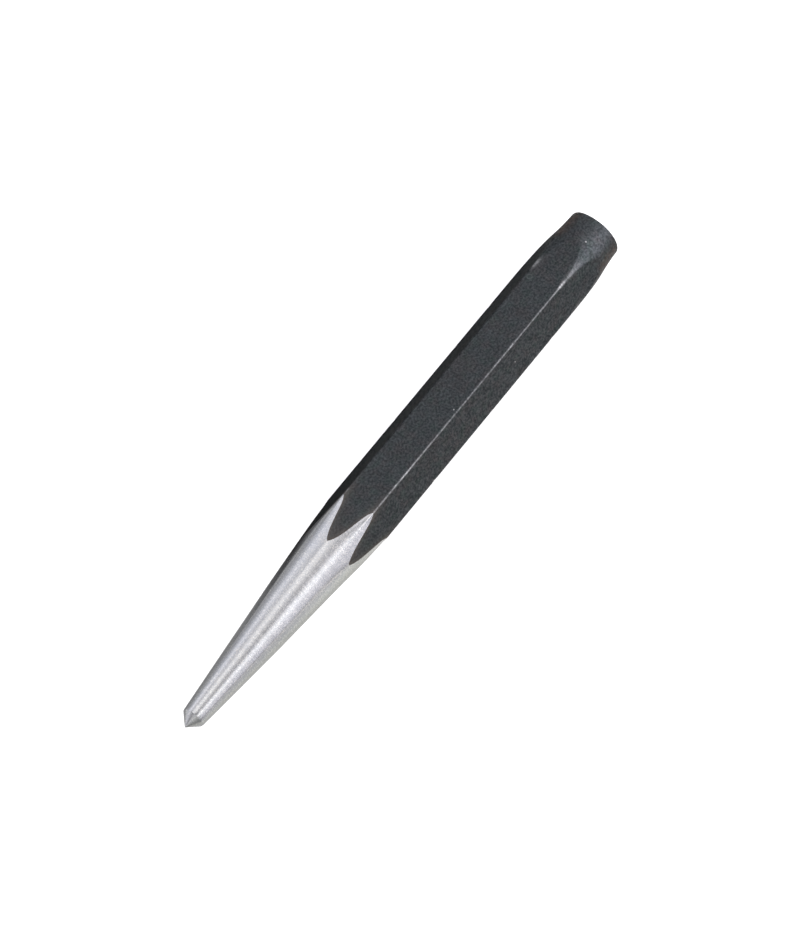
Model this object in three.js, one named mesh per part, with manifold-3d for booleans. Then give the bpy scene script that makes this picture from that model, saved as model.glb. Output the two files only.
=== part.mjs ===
// Solid hexagonal center punch, one forged and ground piece of tool steel.
// Units are millimetres. +X runs from the point to the struck head, +Z is up.
// The punch lies on one flat of its hexagon: that flat is Z = 0, and the origin
// is below the middle of its length.

import * as THREE from 'three';
import { mergeVertices } from 'three/addons/utils/BufferGeometryUtils.js';
import Module from 'manifold-3d';

// ---- driving dimensions ----------------------------------------------------

const LENGTH = 110; // point to struck face
const ACROSS_FLATS = 10; // hexagon stock
const CORNER_RADIUS = 0.25; // drawn hexagon bar has slightly rounded corners
const CORNER_STEPS = 4; // facets in each rounded corner

const POINT_ANGLE = 90; // included angle of the marking cone, degrees
const POINT_BLUNT_R = 0.08; // the very tip is a tiny flat
const POINT_SHOULDER_R = 1.93; // radius where the marking cone meets the taper

// ground taper, x measured from the marking cone's shoulder:
// r = POINT_SHOULDER_R + SLOPE x - CROWN x^2 / 2 + FLARE x^3 / 6
const TAPER_SLOPE = 0.0971;
const TAPER_CROWN = 0.00134;
const TAPER_FLARE = 0.0000626;
const TAPER_STATIONS = 15;
const TAPER_END_R = 6.1; // past the hexagon's corners, so the taper runs out on them

// head, turned round and drawn in towards the struck face:
// [distance from the struck face, radius]
const HEAD_PROFILE = [
  [16.5, 6.1],
  [14.0, 5.79],
  [12.0, 5.71],
  [10.0, 5.59],
  [8.0, 5.4],
  [6.5, 5.18],
  [5.0, 4.97],
  [3.5, 4.84],
  [2.0, 4.74],
  [0.35, 4.64],
];
const FACE_CHAMFER = 0.35; // bevel round the struck face

const ROUND_SEGMENTS = 72; // facets round a turned surface

// ---- helpers ---------------------------------------------------------------

const wasm = await Module();
wasm.setup();

// closed BufferGeometry -> Manifold
function solid(geometry) {
  const g = geometry.clone();
  g.deleteAttribute('normal');
  g.deleteAttribute('uv');
  const merged = mergeVertices(g, 1e-5);
  const index = merged.index.array;
  const kept = [];
  for (let i = 0; i < index.length; i += 3) {
    const [a, b, c] = [index[i], index[i + 1], index[i + 2]];
    if (a !== b && b !== c && c !== a) kept.push(a, b, c);
  }
  return new wasm.Manifold(
    new wasm.Mesh({
      numProp: 3,
      vertProperties: new Float32Array(merged.attributes.position.array),
      triVerts: new Uint32Array(kept),
    }),
  );
}

// Manifold -> BufferGeometry
function geometryOf(manifold) {
  const mesh = manifold.getMesh();
  const g = new THREE.BufferGeometry();
  const vertices = new Float32Array(mesh.numVert * 3);
  for (let i = 0; i < mesh.numVert; i++) {
    for (let k = 0; k < 3; k++) {
      vertices[3 * i + k] = mesh.vertProperties[i * mesh.numProp + k];
    }
  }
  g.setAttribute('position', new THREE.BufferAttribute(vertices, 3));
  g.setIndex(new THREE.BufferAttribute(new Uint32Array(mesh.triVerts), 1));
  g.computeVertexNormals();
  return g;
}

// ---- hexagonal bar -----------------------------------------------------------

// Section with two flats level, so its corners point along +Y and -Y.
function hexagonSection() {
  const apothem = ACROSS_FLATS / 2;
  const centreR = (apothem - CORNER_RADIUS) / Math.cos(Math.PI / 6);
  const points = [];
  for (let corner = 0; corner < 6; corner++) {
    const middle = (corner * Math.PI) / 3;
    const cx = centreR * Math.cos(middle);
    const cy = centreR * Math.sin(middle);
    for (let s = 0; s <= CORNER_STEPS; s++) {
      const a = middle - Math.PI / 6 + ((Math.PI / 3) * s) / CORNER_STEPS;
      points.push(
        new THREE.Vector2(cx + CORNER_RADIUS * Math.cos(a), cy + CORNER_RADIUS * Math.sin(a)),
      );
    }
  }
  return new THREE.Shape(points);
}

function hexagonBar() {
  const g = new THREE.ExtrudeGeometry(hexagonSection(), {
    depth: LENGTH + 2,
    bevelEnabled: false,
    steps: 1,
  });
  // section x -> Y, section y -> Z, extrusion -> X
  g.applyMatrix4(
    new THREE.Matrix4().makeBasis(
      new THREE.Vector3(0, 1, 0),
      new THREE.Vector3(0, 0, 1),
      new THREE.Vector3(1, 0, 0),
    ),
  );
  g.translate(-1, 0, 0);
  return g;
}

// ---- turned envelope: point, ground taper, drawn-in head ---------------------

function taperRadius(x) {
  return (
    POINT_SHOULDER_R + TAPER_SLOPE * x - (TAPER_CROWN * x * x) / 2 + (TAPER_FLARE * x ** 3) / 6
  );
}

function turnedProfile() {
  const points = [new THREE.Vector2(0, 0), new THREE.Vector2(POINT_BLUNT_R, 0)];
  const shoulderX =
    (POINT_SHOULDER_R - POINT_BLUNT_R) / Math.tan(THREE.MathUtils.degToRad(POINT_ANGLE / 2));
  let endX = 0;
  while (taperRadius(endX) < TAPER_END_R) endX += 0.05;
  for (let i = 0; i <= TAPER_STATIONS; i++) {
    const x = (endX * i) / TAPER_STATIONS;
    points.push(new THREE.Vector2(taperRadius(x), shoulderX + x));
  }
  for (const [fromFace, r] of HEAD_PROFILE) {
    points.push(new THREE.Vector2(r, LENGTH - fromFace));
  }
  const lastR = HEAD_PROFILE[HEAD_PROFILE.length - 1][1];
  points.push(new THREE.Vector2(lastR - FACE_CHAMFER, LENGTH));
  points.push(new THREE.Vector2(0, LENGTH));
  return points;
}

function turnedEnvelope() {
  const g = new THREE.LatheGeometry(turnedProfile(), ROUND_SEGMENTS);
  // lathe axis Y -> X, keeping a facet corner on +Z and -Z
  g.applyMatrix4(
    new THREE.Matrix4().makeBasis(
      new THREE.Vector3(0, 1, 0),
      new THREE.Vector3(1, 0, 0),
      new THREE.Vector3(0, 0, -1),
    ),
  );
  return g;
}

// ---- the punch ---------------------------------------------------------------

const bodyGeometry = geometryOf(solid(turnedEnvelope()).intersect(solid(hexagonBar())));

const blackenedSteel = new THREE.MeshStandardMaterial({
  name: 'blackened_tool_steel',
  color: 0x3b3f43,
  metalness: 0.85,
  roughness: 0.45,
});

const punchBody = new THREE.Mesh(bodyGeometry, blackenedSteel);
punchBody.name = 'punch_body';
punchBody.position.set(-LENGTH / 2, 0, ACROSS_FLATS / 2);

const punch = new THREE.Group();
punch.name = 'center_punch';
punch.add(punchBody);

export default punch;
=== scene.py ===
"""Looks for the hexagonal center punch: one closed mesh with ground steel, a
blackened finish and worn corners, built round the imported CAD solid."""

import math

import bpy
import numpy as np
from mathutils import Matrix, Vector, noise


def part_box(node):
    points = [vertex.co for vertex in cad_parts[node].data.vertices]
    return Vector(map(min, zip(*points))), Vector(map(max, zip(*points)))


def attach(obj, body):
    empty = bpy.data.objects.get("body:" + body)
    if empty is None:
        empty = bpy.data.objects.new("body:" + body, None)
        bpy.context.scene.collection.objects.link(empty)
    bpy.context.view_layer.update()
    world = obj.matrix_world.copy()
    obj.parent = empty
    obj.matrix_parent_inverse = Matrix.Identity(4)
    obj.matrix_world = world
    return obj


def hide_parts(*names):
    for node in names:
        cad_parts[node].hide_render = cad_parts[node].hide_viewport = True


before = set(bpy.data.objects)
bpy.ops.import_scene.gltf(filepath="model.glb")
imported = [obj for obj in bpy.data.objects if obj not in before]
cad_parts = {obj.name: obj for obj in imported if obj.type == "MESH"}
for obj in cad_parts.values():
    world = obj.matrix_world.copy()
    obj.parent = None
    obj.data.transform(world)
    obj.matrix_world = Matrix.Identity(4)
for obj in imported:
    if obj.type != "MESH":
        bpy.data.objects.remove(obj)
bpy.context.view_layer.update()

MM = 0.001
scene = bpy.context.scene

# ---------------------------------------------------------------- sizes, in mm
box_lo, box_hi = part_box("punch_body")
LENGTH = (box_hi.x - box_lo.x) / MM
FLATS = (box_hi.z - box_lo.z) / MM
X0 = box_lo.x / MM  # the tip
AXIS_Z = 0.5 * (box_hi.z + box_lo.z) / MM
APOTHEM = FLATS / 2

CORNER_R = 0.26  # rounding of the hexagon's corners
BLUNT_R = 0.045  # the very tip
SHOULDER_X, SHOULDER_R = 2.05, 1.918  # marking cone meets the ground taper
TAPER = (0.09581, 0.0013304, 6.23e-5)  # slope, crown, flare
HEAD = ((16.0, 5.760), (12.0, 5.690), (8.0, 5.445), (5.0, 5.090), (2.5, 4.790), (0.12, 4.655))
HEAD_RIM = 0.12  # rounding between the head and the struck face
HEAD_SHIFT = (158.0, 0.118)  # the head is turned a little off the bar's axis: towards this angle, by this much
# the taper is ground by hand: how far it stands off the bar's axis, and how much fuller it is, at x
TAPER_OFF_AT = -73.0
TAPER_OFF = ((0, -0.025), (4, -0.025), (12, -0.012), (16, 0.0), (20, 0.0), (24, 0.037), (28, 0.074), (32, 0.097), (36, 0.107), (40, 0.085), (46, 0.0))
TAPER_FULL = ((0, 0.0), (4, 0.013), (8, 0.009), (12, 0.028), (16, 0.047), (20, 0.074), (24, 0.078), (28, 0.074), (32, 0.055), (36, 0.038), (41, 0.035), (46, 0.0))

# where the ground taper runs out on a flat: angle from the flat's middle, distance from the tip
RUNOUT = (
    (0.0, 37.28), (2.0, 37.38), (4.0, 37.68), (6.0, 38.0), (8.0, 38.37), (10.0, 38.83),
    (12.0, 39.35), (14.0, 40.0), (16.0, 40.78), (18.0, 41.62), (20.0, 42.5), (22.0, 43.42),
    (24.0, 44.22), (26.0, 44.78), (28.0, 45.16), (30.0, 45.42),
)
# each flat's middle angle, the small shift of its tongue in degrees and in mm
FACES = ((0, 0.0, -0.05), (60, 2.0, -0.35), (120, -1.2, 0.9), (180, 0.8, 0.3), (240, 1.5, -0.6), (300, -0.6, -0.8))


def head_curve():
    """Natural cubic through the head's radii, as (x, r, second derivatives)."""
    x = np.array([LENGTH - d for d, _ in HEAD])
    r = np.array([r for _, r in HEAD])
    n = len(x)
    h = np.diff(x)
    a = np.zeros((n, n))
    b = np.zeros(n)
    a[0, 0] = a[-1, -1] = 1
    for i in range(1, n - 1):
        a[i, i - 1], a[i, i], a[i, i + 1] = h[i - 1], 2 * (h[i - 1] + h[i]), h[i]
        b[i] = 6 * ((r[i + 1] - r[i]) / h[i] - (r[i] - r[i - 1]) / h[i - 1])
    return x, r, np.linalg.solve(a, b)


HX, HR, HM = head_curve()


def head_radius(x):
    x = np.asarray(x, float)
    i = np.clip(np.searchsorted(HX, x) - 1, 0, len(HX) - 2)
    h = HX[i + 1] - HX[i]
    t = HX[i + 1] - x
    s = x - HX[i]
    r = (
        HM[i] * t**3 / (6 * h)
        + HM[i + 1] * s**3 / (6 * h)
        + (HR[i] / h - HM[i] * h / 6) * t
        + (HR[i + 1] / h - HM[i + 1] * h / 6) * s
    )
    return np.where(x < HX[0], HR[0] + (HX[0] - x) * 0.06, r)


def taper_radius(x):
    d = np.asarray(x, float) - SHOULDER_X
    return SHOULDER_R + TAPER[0] * d - TAPER[1] * d * d / 2 + TAPER[2] * d**3 / 6


def from_middle(phi):
    """Angle in degrees from the middle of the flat it is on, -30 to 30."""
    return (np.asarray(phi, float) + 30.0) % 60.0 - 30.0


def hex_radius(phi, corner_r=CORNER_R):
    d = np.abs(from_middle(phi))
    flat = APOTHEM / np.cos(np.radians(d))
    centre = (APOTHEM - corner_r) / math.cos(math.radians(30))
    b = np.radians(30 - d)
    arc = centre * np.cos(b) + np.sqrt(np.maximum(corner_r**2 - (centre * np.sin(b)) ** 2, 0))
    start = np.degrees(np.arctan2((APOTHEM - corner_r) * math.tan(math.radians(30)), APOTHEM))
    return np.where(d > start, arc, flat)


def runout_x(phi):
    """Distance from the tip at which the ground surface ends and the blackened bar begins."""
    phi = np.asarray(phi, float)
    out = np.zeros_like(phi)
    table_d = np.array([d for d, _ in RUNOUT])
    table_x = np.array([x for _, x in RUNOUT])
    k = np.round(phi / 60.0).astype(int) % 6
    d = from_middle(phi)
    for i, (_, shift, along) in enumerate(FACES):
        m = k == i
        fade = 1 - (d[m] / 30.0) ** 2
        dd = np.abs(d[m] - shift * fade)
        out[m] = np.interp(dd, table_d, table_x) + along * fade
    return out


def wavy(x, y, z, seed, scale):
    return noise.noise(Vector((x * scale + seed, y * scale - seed, z * scale + 2 * seed)))


# ---------------------------------------------------------------- the surface
# columns round the section, closer together at the corners
half = [0, 3, 6, 9, 12, 15, 17.5, 19.8, 21.8, 23.6, 25.1, 26.3, 27.2, 27.8, 28.2, 28.45, 28.7, 28.95, 29.2, 29.45, 29.7]
sector = [-30.0] + [-d for d in reversed(half[1:])] + half
PHI = np.array([60.0 * k + d for k in range(6) for d in sector])
NCOL = len(PHI)
DEL = from_middle(PHI)
UY, UZ = -np.sin(np.radians(PHI)), np.cos(np.radians(PHI))

# a soft irregular edge to the run-out, a few hundredths of a millimetre
run = runout_x(PHI)
run = run + np.array([
    0.10 * wavy(5.6 * uy, 5.6 * uz, 0, 3.1, 0.9) + 0.05 * wavy(5.6 * uy, 5.6 * uz, 0, 7.7, 2.6)
    for uy, uz in zip(UY, UZ)
])

hex0 = hex_radius(PHI)


def full_taper(x):
    off = np.interp(x, [a for a, _ in TAPER_OFF], [b for _, b in TAPER_OFF])
    full = np.interp(x, [a for a, _ in TAPER_FULL], [b for _, b in TAPER_FULL])
    return taper_radius(x) + full + off * np.cos(np.radians(PHI - TAPER_OFF_AT))


hollow = full_taper(run) - hex0  # how far the ground surface is drawn in where it runs out
TAIL = np.interp(np.abs(DEL), [0, 14, 22, 30], [0.55, 0.50, 0.30, 0.30])


def ground_radius(x):
    """Radius of the ground surface at x, one value for each column."""
    d = np.maximum(run - x, 0)
    f = (1 - TAIL) * np.exp(-((d / 1.3) ** 1.5)) + TAIL * np.exp(-((d / 6.3) ** 2))
    return full_taper(x) - hollow * f


# worn, slightly bruised corners: depth by which each corner is knocked flat
corner_index = np.round((PHI - 30.0) / 60.0).astype(int) % 6
from_corner = np.abs(((PHI - 30.0) + 30.0) % 60.0 - 30.0)

NICKS = [  # corner, distance from the tip, length, depth
    (0, 82.65, 0.35, 0.08), (0, 83.25, 0.30, 0.12), (0, 51.6, 0.5, 0.03), (0, 54.4, 0.9, 0.04), (0, 96.6, 1.4, 0.04),
    (5, 97.4, 1.2, 0.06), (5, 46.3, 0.5, 0.04),
    (1, 58.0, 0.8, 0.10), (1, 73.5, 0.5, 0.08), (1, 90.2, 0.9, 0.09),
    (2, 50.6, 0.6, 0.09), (2, 66.3, 0.8, 0.06), (2, 82.9, 0.5, 0.10), (2, 96.0, 0.9, 0.07),
    (3, 56.2, 0.7, 0.08), (3, 70.8, 0.9, 0.07), (3, 92.7, 0.6, 0.10),
    (4, 53.4, 0.5, 0.06), (4, 62.9, 0.8, 0.09), (4, 79.6, 0.6, 0.07), (4, 88.8, 1.0, 0.09),
]


def bar_radius(x):
    """Radius of the blackened bar at x (one x for each column), with its worn corners."""
    centre = np.array([0.5 + 0.5 * noise.noise(Vector((xi * 0.45, 10.0 * k, 1.7))) for xi, k in zip(x, corner_index)])
    fine = np.array([0.5 + 0.5 * noise.noise(Vector((xi * 1.7, 10.0 * k, 5.1))) for xi, k in zip(x, corner_index)])
    knock = 0.006 * centre + 0.008 * fine
    for k, at, length, depth in NICKS:
        m = corner_index == k
        knock = knock + m * depth * np.exp(-((x - at) / (0.5 * length)) ** 2)
    top = hex_radius(np.array([30.0]))[0]
    cut = (top - knock) / np.cos(np.radians(from_corner))
    soft = 0.012
    h = np.clip(0.5 + 0.5 * (cut - hex0) / soft, 0, 1)
    return cut + (hex0 - cut) * h - soft * h * (1 - h)


def head_r_at(x):
    """Radius of the drawn-in head from the bar's axis, a little off centre as real ones are."""
    e = HEAD_SHIFT[1] * np.clip((np.asarray(x) - (LENGTH - 14)) / 8, 0, 1)
    cu = e * np.cos(np.radians(PHI - HEAD_SHIFT[0]))
    # and spread a little by hammering on one side
    spread = 0.25 * np.exp(-((((PHI + 38 + 180) % 360 - 180) / 24.0) ** 2)) * np.clip((np.asarray(x) - (LENGTH - 5)) / 3.5, 0, 1)
    return cu + spread + np.sqrt(np.maximum(head_radius(x) ** 2 - e * e + cu * cu, 1e-6))


def smooth_min(a, b, k):
    h = np.clip(0.5 + 0.5 * (b - a) / k, 0, 1)
    return b + (a - b) * h - k * h * (1 - h)


# where the head's curve leaves the hexagon, for each column
lo = np.full(NCOL, LENGTH - 20.0)
hi = np.full(NCOL, LENGTH - 1.0)
for _ in range(40):
    mid = (lo + hi) / 2
    inside = head_r_at(mid) > hex0
    lo = np.where(inside, mid, lo)
    hi = np.where(inside, hi, mid)
head_x = (lo + hi) / 2

rings = []  # (x for each column, radius for each column, kind)


def add(x, r, kind):
    rings.append((np.broadcast_to(np.asarray(x, float), (NCOL,)).copy(), np.broadcast_to(np.asarray(r, float), (NCOL,)).copy(), kind))


GROUND, BLACK = 0, 1
ONE = np.ones(NCOL)

# marking cone: a tiny rounded tip, straight flank, tiny rounded shoulder
slope = (SHOULDER_R - BLUNT_R) / SHOULDER_X
for x, r in ((0.0, BLUNT_R * 0.45), (0.012, BLUNT_R * 0.85), (0.035, BLUNT_R * 1.25)):
    add(x * ONE, r * ONE, GROUND)
for t in np.linspace(0.06, 0.955, 13):
    x = SHOULDER_X * t
    add(x * ONE, (BLUNT_R + slope * x) * ONE, GROUND)
for t, cut in ((0.975, 0.004), (0.992, 0.016), (1.008, 0.024), (1.026, 0.017), (1.05, 0.006)):
    x = SHOULDER_X * t
    r = min(BLUNT_R + slope * x, float(taper_radius(x)))
    add(x * ONE, (r - cut) * ONE, GROUND)

# the point was ground a little further back on one side
back = 0.06 * np.cos(np.radians(PHI + 73))
for ring in rings:
    ring[0][:] += back * np.interp(ring[0], [0.1, SHOULDER_X], [0, 1])

# ground taper, its rows bending to follow the run-out
start = SHOULDER_X * 1.09
N_TAPER = 92
for i in range(N_TAPER + 1):
    t = i / N_TAPER
    x = start + (run - 0.10 - start) * t
    x = x + back * np.clip(1 - (x - start) / 6.0, 0, 1)
    add(x, ground_radius(x), GROUND)
add(run - 0.035, ground_radius(run - 0.035), GROUND)
add(run, np.minimum(hex0, ground_radius(run)), GROUND)

# blackened bar
x = run + 0.035
edge_r = hex0
add(x, edge_r, BLACK)
N_BAR = 176
for i in range(N_BAR + 1):
    t = i / N_BAR
    x = (run + 0.12) + (head_x - 0.5 - run - 0.12) * t
    blend = np.clip((x - run) / 1.2, 0, 1)
    r = hex0 + (bar_radius(x) - hex0) * blend
    add(x, smooth_min(r, head_r_at(x), 0.05), BLACK)

# drawn-in head
N_HEAD = 34
end_x = LENGTH - HEAD_RIM
for i in range(1, N_HEAD + 1):
    t = i / N_HEAD
    x = (head_x - 0.5) + (end_x - head_x + 0.5) * t
    near = np.clip((end_x - x) / 3.0, 0, 1)
    r = smooth_min(bar_radius(x) * near + (hex0 + 0.2) * (1 - near), head_r_at(x), 0.05)
    add(x, r, BLACK)
rim_r = rings[-1][1].copy()
for a in (15, 32, 50, 68, 84):
    s = math.sin(math.radians(a))
    c = 1 - math.cos(math.radians(a))
    add((end_x + HEAD_RIM * s) * ONE, rim_r - HEAD_RIM * c, BLACK)
face_r = rim_r - HEAD_RIM
for t in (0.97, 0.92, 0.84, 0.74, 0.62, 0.49, 0.36, 0.23, 0.11):
    add((LENGTH - 0.0) * ONE, face_r * t, BLACK)

NROW = len(rings)
verts = np.zeros((NROW * NCOL + 2, 3))
for i, (x, r, _) in enumerate(rings):
    s = slice(i * NCOL, (i + 1) * NCOL)
    verts[s, 0] = X0 + np.minimum(x, LENGTH)
    verts[s, 1] = r * UY
    verts[s, 2] = AXIS_Z + r * UZ
tip_i, end_i = NROW * NCOL, NROW * NCOL + 1
verts[tip_i] = (X0, 0, AXIS_Z)
verts[end_i] = (X0 + LENGTH, 0, AXIS_Z)

# the struck face has a few shallow hammer marks
for i in range(NROW - 9, NROW):
    for j in range(NCOL):
        v = verts[i * NCOL + j]
        v[0] -= 0.02 * max(0.0, 0.35 + wavy(0, v[1], v[2], 9.3, 0.55)) * min(1.0, (NROW - i) / 3.0 if i > NROW - 4 else 1.0)
verts[end_i, 0] = verts[(NROW - 1) * NCOL:NROW * NCOL, 0].mean()

# inside the CAD box, to the last hundredth
lim_y = min(-box_lo.y, box_hi.y) / MM
verts[:, 1] = np.clip(verts[:, 1], -lim_y, lim_y)
verts[:, 2] = np.clip(verts[:, 2], 0.0, FLATS)

faces, mats = [], []
for j in range(NCOL):
    k = (j + 1) % NCOL
    faces.append((tip_i, k, j))
    mats.append(0)
for i in range(NROW - 1):
    kind = rings[i + 1][2] if rings[i][2] == BLACK or rings[i + 1][2] == GROUND else BLACK
    for j in range(NCOL):
        k = (j + 1) % NCOL
        faces.append((i * NCOL + j, i * NCOL + k, (i + 1) * NCOL + k, (i + 1) * NCOL + j))
        mats.append(kind)
for j in range(NCOL):
    k = (j + 1) % NCOL
    faces.append(((NROW - 1) * NCOL + j, (NROW - 1) * NCOL + k, end_i))
    mats.append(1)

mesh = bpy.data.meshes.new("center_punch")
mesh.from_pydata([tuple(v * MM) for v in verts], [], faces)
mesh.update()

# columns run from +Z towards -Y; make the faces point out
volume = 0.0
mesh.calc_loop_triangles()
for tri in mesh.loop_triangles:
    a, b, c = (mesh.vertices[i].co for i in tri.vertices)
    volume += a.dot(b.cross(c))
if volume < 0:
    mesh.flip_normals()

mesh.polygons.foreach_set("use_smooth", [True] * len(mesh.polygons))
mesh.polygons.foreach_set("material_index", mats)

# ---------------------------------------------------------------- wear, stored on the mesh
# how far each corner's finish is rubbed through, along the bar: corner: (x, amount)
RUBBED = {
    0: ((45, 0.42), (46.2, 0.36), (50.4, 0.32), (51.2, 0.50), (52.4, 0.38), (53.2, 0.56), (55.4, 0.56), (56.6, 0.36),
        (66, 0.29), (77.7, 0.25), (78.4, 0.33), (82.1, 0.33), (83.2, 0.26), (90, 0.26), (91, 0.33), (94.6, 0.36),
        (95.3, 0.60), (96.8, 0.50), (97.8, 0.28), (100, 0.20), (102.5, 0.03), (103.5, 0.0)),
    5: ((45, 0.10), (45.8, 0.20), (46.3, 0.35), (47.0, 0.06), (60, 0.01), (90, 0.01), (96.0, 0.05), (96.9, 0.36),
        (98.0, 0.36), (98.8, 0.08), (100, 0.0)),
    1: ((45, 0.25), (60, 0.30), (75, 0.18), (90, 0.30), (97, 0.45), (100, 0.0)),
    2: ((45, 0.30), (58, 0.45), (70, 0.25), (88, 0.40), (97, 0.50), (100, 0.0)),
    3: ((45, 0.35), (55, 0.30), (72, 0.45), (86, 0.25), (97, 0.45), (100, 0.0)),
    4: ((45, 0.10), (60, 0.12), (80, 0.10), (97, 0.30), (100, 0.0)),
}
row_x = np.array([x for x, _, _ in rings])
dist_mm = np.radians(from_corner) * APOTHEM / math.cos(math.radians(30))
wear = np.zeros(NROW * NCOL + 2)
brown = np.zeros(NROW * NCOL + 2)
runout = np.zeros(NROW * NCOL + 2)
for i in range(NROW):
    if rings[i][2] == GROUND:
        continue
    x = row_x[i]
    across = np.exp(-((dist_mm / np.interp(x, [0, 95.4, 97.0, 98.5, 101], [0.135, 0.135, 0.27, 0.40, 0.55])) ** 2))
    amount = np.zeros(NCOL)
    for k, table in RUBBED.items():
        m = corner_index == k
        amount[m] = np.interp(x[m], [a for a, _ in table], [b for _, b in table])
    w = across * amount
    for k, at, length, depth in NICKS:
        w = w + (corner_index == k) * across * 0.55 * np.exp(-((x - at) / (0.5 * length + 0.1)) ** 2) * min(1.0, depth / 0.1)
    w = w + 0.018 * np.clip((x - (LENGTH - 6.0)) / 3.0, 0, 1)
    wear[i * NCOL:(i + 1) * NCOL] = np.clip(w, 0, 1.5)
    # burnished brown where the grinding ran out, and rust-brown spots on the head's rim
    runout[i * NCOL:(i + 1) * NCOL] = np.exp(-np.maximum(x - run, 0) / 2.2)
    edge = 0.35 * np.clip(1 - (x - run) / 0.8, 0, 1)
    near_end = np.clip((x - (LENGTH - 6.5)) / 2.0, 0, 1)
    left = np.exp(-(((PHI + 180 + 50) % 360 - 180) / 18.0) ** 2)
    right = 0.70 * np.exp(-(((PHI + 180 - 86) % 360 - 180) / 20.0) ** 2)
    brown[i * NCOL:(i + 1) * NCOL] = np.maximum(edge, near_end * np.maximum(left, right))
for name, data in (("wear", wear), ("rim", brown), ("runout", runout)):
    att = mesh.attributes.new(name, "FLOAT", "POINT")
    att.data.foreach_set("value", data.astype(np.float32))

punch = bpy.data.objects.new("center_punch_body", mesh)
scene.collection.objects.link(punch)


# ---------------------------------------------------------------- materials
class Nodes:
    """Small helper for building a node tree."""

    def __init__(self, tree):
        self.tree = tree
        tree.nodes.clear()

    def new(self, kind, **values):
        n = self.tree.nodes.new(kind)
        for k, v in values.items():
            setattr(n, k, v)
        return n

    def link(self, a, b):
        self.tree.links.new(a, b)

    def math(self, op, a, b=None, clamp=False):
        n = self.new("ShaderNodeMath", operation=op, use_clamp=clamp)
        for i, v in enumerate((a, b)):
            if v is None:
                continue
            if isinstance(v, (int, float)):
                n.inputs[i].default_value = v
            else:
                self.link(v, n.inputs[i])
        return n.outputs[0]

    def mapped(self, source, scale, location=(0, 0, 0), rotation=(0, 0, 0)):
        n = self.new("ShaderNodeMapping")
        n.inputs["Scale"].default_value = scale
        n.inputs["Location"].default_value = location
        n.inputs["Rotation"].default_value = rotation
        self.link(source, n.inputs["Vector"])
        return n.outputs["Vector"]

    def noise(self, source, scale, detail=2.0, rough=0.5, distortion=0.0):
        n = self.new("ShaderNodeTexNoise")
        n.inputs["Scale"].default_value = scale
        n.inputs["Detail"].default_value = detail
        n.inputs["Roughness"].default_value = rough
        n.inputs["Distortion"].default_value = distortion
        self.link(source, n.inputs["Vector"])
        return n.outputs["Fac"]

    def ramp(self, source, stops, interpolation="LINEAR"):
        n = self.new("ShaderNodeValToRGB")
        r = n.color_ramp
        r.interpolation = interpolation
        while len(r.elements) > 1:
            r.elements.remove(r.elements[-1])
        for i, (p, c) in enumerate(stops):
            e = r.elements[0] if i == 0 else r.elements.new(p)
            e.position = p
            e.color = (*c, 1.0) if hasattr(c, "__len__") else (c, c, c, 1.0)
        self.link(source, n.inputs["Fac"])
        return n.outputs["Color"]

    def remap(self, source, a, b, c, d, clamp=True):
        n = self.new("ShaderNodeMapRange", clamp=clamp)
        for i, v in enumerate((a, b, c, d)):
            n.inputs[i + 1].default_value = v
        self.link(source, n.inputs[0])
        return n.outputs[0]

    def mix(self, fac, a, b, blend="MIX"):
        n = self.new("ShaderNodeMix", data_type="RGBA", blend_type=blend)
        for i, v in ((0, fac), (6, a), (7, b)):
            if hasattr(v, "links") or hasattr(v, "is_linked"):
                self.link(v, n.inputs[i])
            elif hasattr(v, "__len__"):
                n.inputs[i].default_value = (*v, 1.0)
            else:
                n.inputs[i].default_value = v
        return n.outputs[2]


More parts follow.
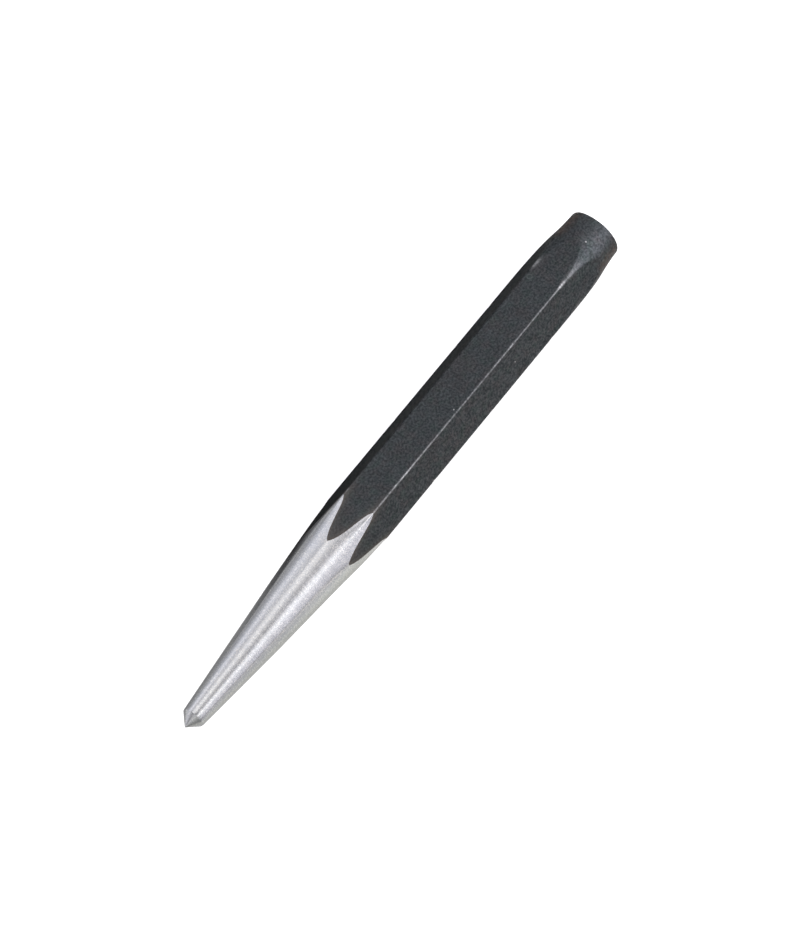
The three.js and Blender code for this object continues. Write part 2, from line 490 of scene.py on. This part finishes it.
def ground_steel():
    m = bpy.data.materials.new("ground_steel")
    m.use_nodes = True
    k = Nodes(m.node_tree)
    out = k.new("ShaderNodeOutputMaterial")
    p = k.new("ShaderNodeBsdfPrincipled")
    k.link(p.outputs[0], out.inputs["Surface"])
    co = k.new("ShaderNodeTexCoord").outputs["Object"]
    mm = k.mapped(co, (1000, 1000, 1000))
    sep = k.new("ShaderNodeSeparateXYZ")
    k.link(mm, sep.inputs[0])

    def lines(lean, along, offset):
        """Coordinates that draw a noise out into short lines round the axis, leaning a little."""
        com = k.new("ShaderNodeCombineXYZ")
        k.link(k.math("ADD", k.math("ADD", sep.outputs["X"], k.math("MULTIPLY", sep.outputs["Y"], lean)), offset), com.inputs[0])
        k.link(k.math("MULTIPLY", sep.outputs["Y"], along), com.inputs[1])
        k.link(k.math("MULTIPLY", sep.outputs["Z"], along), com.inputs[2])
        return com.outputs[0]

    fine = k.noise(lines(0.35, 0.30, 0), 5.2, 3.0, 0.62)
    cross = k.noise(lines(-0.25, 0.45, 13), 3.4, 2.0, 0.6)
    medium = k.noise(lines(0.10, 0.12, 5), 1.25, 2.0, 0.55)
    broad = k.noise(lines(0.0, 0.20, 9), 0.30, 2.0, 0.5)
    grain = k.noise(mm, 4.6, 3.0, 0.6)
    # clean steel with slightly greyer, browner and bluer marks
    c = k.mix(k.remap(medium, 0.34, 0.66, 0, 1), (0.574, 0.569, 0.566), (0.668, 0.662, 0.655))
    c = k.mix(k.remap(broad, 0.48, 0.66, 0, 0.6), c, (0.605, 0.585, 0.55))
    cool = k.noise(lines(0.0, 0.35, 27), 0.45, 2.0, 0.5)
    c = k.mix(k.remap(cool, 0.48, 0.66, 0, 0.6), c, (0.575, 0.59, 0.64))
    c = k.mix(k.remap(fine, 0.38, 0.60, 0.75, 0), c, (0.47, 0.465, 0.485))
    c = k.mix(k.remap(cross, 0.44, 0.64, 0, 0.55), c, (0.74, 0.74, 0.725))
    c = k.mix(k.remap(grain, 0.38, 0.60, 1.0, 0), c, (0.45, 0.465, 0.49))
    c = k.mix(k.remap(k.noise(k.mapped(mm, (0.05, 1, 1), (0, 3, 8)), 1.7, 2.0, 0.55), 0.40, 0.60, 0.40, 0), c, (0.51, 0.515, 0.53))
    # freshest grinding is by the point
    c = k.mix(k.remap(sep.outputs["X"], -47.5, -41.0, 1, 0), c, (1.03, 1.03, 1.025), "MULTIPLY")
    k.link(c, p.inputs["Base Color"])
    r = k.math("ADD", k.remap(medium, 0.3, 0.7, 0.225, 0.265), k.remap(grain, 0.3, 0.7, -0.015, 0.015))
    k.link(r, p.inputs["Roughness"])
    p.inputs["Metallic"].default_value = 1.0
    p.inputs["Anisotropic"].default_value = 0.8
    p.inputs["Anisotropic Rotation"].default_value = 0.25
    tan = k.new("ShaderNodeTangent", direction_type="RADIAL", axis="X")
    k.link(tan.outputs[0], p.inputs["Tangent"])
    bump = k.new("ShaderNodeBump")
    bump.inputs["Strength"].default_value = 0.5
    bump.inputs["Distance"].default_value = 0.004 * MM
    h = k.math("ADD", k.math("MULTIPLY", fine, 0.6), medium)
    h = k.math("ADD", h, k.math("MULTIPLY", grain, 0.9))
    h = k.math("ADD", h, k.math("MULTIPLY", cross, 0.5))
    k.link(h, bump.inputs["Height"])
    k.link(bump.outputs[0], p.inputs["Normal"])
    return m


def black_finish():
    m = bpy.data.materials.new("blackened_steel")
    m.use_nodes = True
    k = Nodes(m.node_tree)
    out = k.new("ShaderNodeOutputMaterial")
    p = k.new("ShaderNodeBsdfPrincipled")
    k.link(p.outputs[0], out.inputs["Surface"])
    co = k.new("ShaderNodeTexCoord").outputs["Object"]
    mm = k.mapped(co, (1000, 1000, 1000))
    speck = k.noise(mm, 2.7, 2.5, 0.60)
    speck2 = k.noise(k.mapped(mm, (1, 1, 1), (31, 17, 5)), 6.5, 2.0, 0.5)
    patch = k.noise(k.mapped(mm, (0.8, 1, 1), (11, 3, 7)), 0.55, 3.0, 0.55)
    hue = k.noise(k.mapped(mm, (0.9, 1, 1), (3, 41, 9)), 0.55, 2.0, 0.5)
    tint = k.noise(k.mapped(mm, (0.9, 1, 1), (53, 4, 19)), 0.75, 2.0, 0.5)
    c = k.mix(k.remap(speck, 0.36, 0.66, 0, 1), (0.0268, 0.0308, 0.0333), (0.0622, 0.0686, 0.0735))
    c = k.mix(k.remap(hue, 0.46, 0.66, 0, 0.50), c, (1.16, 0.97, 0.95), "MULTIPLY")
    c = k.mix(k.remap(tint, 0.50, 0.68, 0, 0.60), c, (0.90, 1.05, 0.96), "MULTIPLY")
    c = k.mix(k.remap(patch, 0.32, 0.70, 0, 1), c, (0.86, 0.86, 0.86), "MULTIPLY")
    # burnished brown where the grinding ran out, and on the head's rim
    rim = k.new("ShaderNodeAttribute", attribute_name="rim")
    spots = k.remap(k.noise(k.mapped(mm, (1, 1, 1), (7, 7, 2)), 1.7, 2.0, 0.6), 0.40, 0.60, 0.30, 1.0)
    c = k.mix(k.math("MULTIPLY", rim.outputs["Fac"], spots), c, (0.086, 0.060, 0.050))
    edge = k.new("ShaderNodeAttribute", attribute_name="runout")
    c = k.mix(k.math("MULTIPLY", edge.outputs["Fac"], k.remap(speck2, 0.35, 0.65, 0.35, 0.75)), c, (0.120, 0.106, 0.094))
    # bare metal at the worn corners
    wear_at = k.new("ShaderNodeAttribute", attribute_name="wear")
    beads = k.noise(k.mapped(mm, (1.0, 0.6, 0.6), (5, 5, 5)), 2.3, 3.0, 0.7)
    worn = k.math("MULTIPLY", wear_at.outputs["Fac"], k.remap(beads, 0.38, 0.60, 0.32, 1.08))
    # a few small bright chips where the finish is gone: x, y, z, radius
    chips = None
    for x, y, z, r in CHIPS:
        far = k.new("ShaderNodeVectorMath", operation="DISTANCE")
        k.link(mm, far.inputs[0])
        far.inputs[1].default_value = (x, y, z)
        dot = k.remap(far.outputs["Value"], 0.4 * r, r, 0.6, 0)
        chips = dot if chips is None else k.math("MAXIMUM", chips, dot)
    far = k.new("ShaderNodeVectorMath", operation="DISTANCE")
    k.link(mm, far.inputs[0])
    far.inputs[1].default_value = RING[:3]
    ring = k.math("MULTIPLY", k.remap(far.outputs["Value"], RING[3] - 0.16, RING[3], 0, 1), k.remap(far.outputs["Value"], RING[3], RING[3] + 0.16, 1, 0))
    chips = k.math("MAXIMUM", chips, k.math("MULTIPLY", ring, 0.07))
    bright = k.math("MINIMUM", k.math("MAXIMUM", worn, chips), 1.0)
    c = k.mix(bright, c, (0.44, 0.44, 0.45))
    k.link(c, p.inputs["Base Color"])
    p.inputs["Metallic"].default_value = 1.0
    glance = k.mix(k.remap(speck, 0.36, 0.62, 0, 1), (0.40, 0.41, 0.42), (1.0, 1.0, 1.0))
    k.link(k.mix(bright, glance, (1, 1, 1)), p.inputs["Specular Tint"])
    k.link(k.remap(speck2, 0.3, 0.7, 0.38, 0.52), p.inputs["Roughness"])
    h = k.math("ADD", speck, k.math("MULTIPLY", speck2, 0.5))
    h = k.math("ADD", h, k.math("MULTIPLY", patch, 0.8))
    bump = k.new("ShaderNodeBump")
    bump.inputs["Strength"].default_value = 0.6
    bump.inputs["Distance"].default_value = 0.02 * MM
    k.link(h, bump.inputs["Height"])
    k.link(bump.outputs[0], p.inputs["Normal"])
    return m


RING = (X0 + 94.8, 2.18, AXIS_Z + 5.0, 0.42)  # a faint dried ring on the upper flat: x, y, z, radius
CHIPS = (  # x, y, z in mm in the shared frame
    (X0 + 67.93, -2.244, AXIS_Z + 5.0, 0.16),
    (X0 + 81.9, -4.29, AXIS_Z + 2.57, 0.13),
    (X0 + 105.55, -1.325, AXIS_Z + 4.85, 0.24),
    (X0 + 61.0, 3.9, AXIS_Z - 3.5, 0.15), (X0 + 77.0, -2.6, AXIS_Z - 5.0, 0.18), (X0 + 90.4, 1.7, AXIS_Z - 5.0, 0.14),
)

mesh.materials.append(ground_steel())
mesh.materials.append(black_finish())

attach(punch, "root")
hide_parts("punch_body")

# ---------------------------------------------------------------- stage
floor_mesh = bpy.data.meshes.new("floor")
S = 3.0
floor_mesh.from_pydata([(-S, -S, 0), (S, -S, 0), (S, S, 0), (-S, S, 0)], [], [(0, 1, 2, 3)])
floor = bpy.data.objects.new("floor", floor_mesh)
scene.collection.objects.link(floor)
floor.location.z = -0.00002
fm = bpy.data.materials.new("floor_white")
fm.use_nodes = True
k = Nodes(fm.node_tree)
out = k.new("ShaderNodeOutputMaterial")
seen = k.new("ShaderNodeLightPath").outputs["Is Camera Ray"]
paint = k.new("ShaderNodeBsdfDiffuse")
paint.inputs["Color"].default_value = (0.80, 0.80, 0.80, 1)
glow = k.new("ShaderNodeEmission")
glow.inputs["Color"].default_value = (1, 1, 1, 1)
glow.inputs["Strength"].default_value = 0.62
both = k.new("ShaderNodeAddShader")
k.link(paint.outputs[0], both.inputs[0])
k.link(glow.outputs[0], both.inputs[1])
# what the steel sees of the table, painted into an emission: painted light on the camera's side, painted shade behind
# and under the punch
co = k.new("ShaderNodeTexCoord").outputs["Object"]
sep = k.new("ShaderNodeSeparateXYZ")
k.link(co, sep.inputs[0])
across = k.remap(sep.outputs["Y"], -0.060, 0.060, 0, 1)


def table_tone(rows, green=1.0):
    return k.ramp(across, [((y + 60) / 120, (v, green * v + (1 - green) * w, w)) for y, v, w in rows])


BY_POINT = ((-60, 0.73, 0.735), (-19, 0.74, 0.74), (-11.5, 0.86, 0.815), (-6, 0.70, 0.655), (0, 0.68, 0.68), (4, 0.64, 0.64), (8, 0.44, 0.44),
            (14, 0.28, 0.28), (24, 0.35, 0.355), (40, 0.47, 0.475), (60, 0.51, 0.515))
BY_TAPER = ((-60, 0.85, 0.85), (-19, 0.87, 0.86), (-13, 1.07, 1.015), (-9.5, 0.95, 0.89), (-7, 0.75, 0.70), (-5, 0.65, 0.61), (0, 0.20, 0.20), (6, 0.035, 0.035),
            (14, 0.035, 0.036), (24, 0.065, 0.067), (40, 0.105, 0.108), (60, 0.12, 0.123))
BY_BAR = ((-60, 1.35, 1.22), (-12, 1.35, 1.22), (-6, 1.00, 0.95), (0, 0.32, 0.32), (6, 0.145, 0.145),
          (14, 0.145, 0.145), (24, 0.33, 0.33), (40, 0.46, 0.465), (60, 0.50, 0.505))
BY_HEAD = ((-60, 1.20, 1.16), (-12, 1.20, 1.16), (-6, 1.00, 0.96), (0, 0.60, 0.57), (6, 0.60, 0.57),
           (14, 0.60, 0.58), (24, 0.70, 0.69), (40, 0.85, 0.85), (60, 0.90, 0.90))
BEYOND = ((-60, 0.36, 0.35), (-4, 0.36, 0.35), (5, 0.70, 0.70), (15, 0.82, 0.83), (60, 0.90, 0.92))
tone = k.mix(k.remap(sep.outputs["X"], -0.032, -0.017, 0, 1), table_tone(BY_POINT), table_tone(BY_TAPER))
tone = k.mix(k.remap(sep.outputs["X"], -0.014, 0.010, 0, 1), tone, table_tone(BY_BAR, 0.4))
tone = k.mix(k.remap(sep.outputs["X"], 0.050, 0.062, 0, 1), tone, table_tone(BY_HEAD))
tone = k.mix(k.remap(sep.outputs["X"], -0.056, -0.064, 0, 1), tone, table_tone(BEYOND))
# painted light and shade: this emission glows with the tone above wherever the steel reflects the table
bounce = k.new("ShaderNodeEmission")
k.link(tone, bounce.inputs["Color"])
mixer = k.new("ShaderNodeMixShader")
k.link(seen, mixer.inputs[0])
k.link(bounce.outputs[0], mixer.inputs[1])
k.link(both.outputs[0], mixer.inputs[2])
k.link(mixer.outputs[0], out.inputs["Surface"])
floor_mesh.materials.append(fm)

# soft studio light: a bright tent with a brighter strip on the near side, dimmer at the back
LIGHT = (  # angle about the punch from straight up towards -Y, degrees: brightness, red, green, blue
    (-180, 0.16, 1, 1, 1), (-130, 0.22, 1, 1, 1), (-111, 0.33, 1, 1, 1), (-89, 0.45, 0.995, 0.99, 1.01), (-72, 0.55, 0.965, 0.985, 1.04),
    (-57, 0.91, 0.97, 0.98, 1.045), (-43, 1.46, 0.985, 0.98, 1.03), (-30, 0.80, 0.985, 0.98, 1.02), (-18, 1.15, 1.005, 0.99, 1.0),
    (-6, 1.63, 1.01, 0.99, 0.99), (5.5, 1.015, 1.01, 0.995, 0.99), (17, 0.47, 1.005, 1.0, 0.99), (28.5, 0.53, 1.01, 1.0, 0.985),
    (40, 1.42, 1.0, 1.0, 1.0), (52, 1.13, 0.995, 0.995, 1.01), (64, 0.62, 0.99, 0.99, 1.02), (77, 0.78, 0.985, 0.98, 1.035),
    (91, 0.35, 1.0, 0.985, 1.02), (106, 0.54, 1.03, 1.0, 0.965), (180, 0.6, 1.01, 1, 0.975),
)
LOW = (  # the same for what lies beyond the point, which only the marking cone mirrors
    (-180, 0.6, 1, 1, 1), (-110, 0.90, 1, 1, 1), (-92, 1.05, 1, 1, 1.01), (-75, 1.08, 0.99, 0.98, 1.03), (-50, 0.80, 0.98, 0.98, 1.04),
    (-34, 0.42, 0.97, 0.98, 1.05), (-20, 0.36, 0.98, 0.98, 1.04), (0, 0.66, 1, 0.99, 1.02), (20, 0.82, 1, 0.99, 1.01), (45, 0.78, 1, 1, 0.99),
    (70, 0.64, 1, 1, 0.98), (95, 0.42, 1, 1, 0.98), (180, 0.35, 1, 1, 1),
)
STRIP = (  # a lamp beyond the head: angle, brightness
    (-180, 0.0), (-118, 0.02), (-95, 0.12), (-70, 0.11), (-45, 0.04), (-22, 0.01), (0, 0.18), (18, 0.60), (34, 0.94), (48, 1.0), (64, 1.24), (80, 0.76), (98, 0.34), (115, 0.0), (180, 0.0),
)
STRIP_POWER = 3.5
world = bpy.data.worlds.new("studio")
scene.world = world
world.use_nodes = True
k = Nodes(world.node_tree)
out = k.new("ShaderNodeOutputWorld")
co = k.new("ShaderNodeTexCoord").outputs["Generated"]
sep = k.new("ShaderNodeSeparateXYZ")
k.link(co, sep.inputs[0])
ang = k.math("ARCTAN2", k.math("MULTIPLY", sep.outputs["Y"], -1.0), sep.outputs["Z"])
frac = k.math("ADD", k.math("DIVIDE", ang, 2 * math.pi), 0.5)


turned = k.math("SUBTRACT", frac, k.remap(sep.outputs["X"], 0.19, 0.30, -5.5 / 360, 6.5 / 360))


def round_the_punch(rows):
    return k.ramp(turned, [((a + 180) / 360, (0.4 * e * r, 0.4 * e * g, 0.4 * e * b)) for a, e, r, g, b in rows], "CARDINAL")


tent = round_the_punch(LIGHT)
tent = k.mix(k.remap(sep.outputs["X"], -0.35, -0.60, 0, 1), tent, round_the_punch(LOW))
lamp = k.ramp(frac, [((a + 180) / 360, e) for a, e in STRIP])
reach = k.ramp(k.remap(sep.outputs["X"], 0.30, 0.65, 0, 1), [(0, 0.0), (0.33, 0.40), (0.6, 0.85), (0.8, 1.0), (1, 1.0)])
lamp = k.mix(1.0, lamp, reach, "MULTIPLY")
lamp = k.mix(1.0, lamp, (0.4 * STRIP_POWER * 1.0, 0.4 * STRIP_POWER * 0.96, 0.4 * STRIP_POWER * 1.03), "MULTIPLY")
tent = k.mix(1.0, tent, lamp, "ADD")
light = k.new("ShaderNodeBackground")
k.link(tent, light.inputs["Color"])
light.inputs["Strength"].default_value = 2.5
back = k.new("ShaderNodeBackground")
back.inputs["Color"].default_value = (1, 1, 1, 1)
back.inputs["Strength"].default_value = 1.0
pick = k.new("ShaderNodeMixShader")
k.link(k.new("ShaderNodeLightPath").outputs["Is Camera Ray"], pick.inputs[0])
k.link(light.outputs[0], pick.inputs[1])
k.link(back.outputs[0], pick.inputs[2])
k.link(pick.outputs[0], out.inputs["Surface"])

scene.view_settings.view_transform = "Standard"
scene.view_settings.look = "None"
scene.view_settings.exposure = 0.0
scene.view_settings.gamma = 1.0

# ---------------------------------------------------------------- camera
cam_data = bpy.data.cameras.new("camera")
cam = bpy.data.objects.new("camera", cam_data)
scene.collection.objects.link(cam)
elev, azim, roll = math.radians(61.70059), math.radians(-56.22891), math.radians(2.39121)
back_v = Vector((math.sin(azim) * math.cos(elev), -math.cos(azim) * math.cos(elev), math.sin(elev)))
level_v = Vector((math.cos(azim), math.sin(azim), 0))
over_v = back_v.cross(level_v)
right_v = level_v * math.cos(roll) + over_v * math.sin(roll)
up_v = over_v * math.cos(roll) - level_v * math.sin(roll)
target = Vector((0, 0, AXIS_Z))
loc = target + back_v * 1058.3 + right_v * 1.0063 + up_v * 0.7532
rot = Matrix((right_v, up_v, back_v)).transposed()
cam.matrix_world = Matrix.Translation(loc * MM) @ rot.to_4x4()
cam_data.sensor_width = 36.0
cam_data.sensor_fit = "AUTO"
cam_data.lens = 6709.5 / 941 * 36.0
cam_data.clip_start, cam_data.clip_end = 0.01, 20
scene.camera = cam

# ---------------------------------------------------------------- finish
bpy.context.view_layer.update()
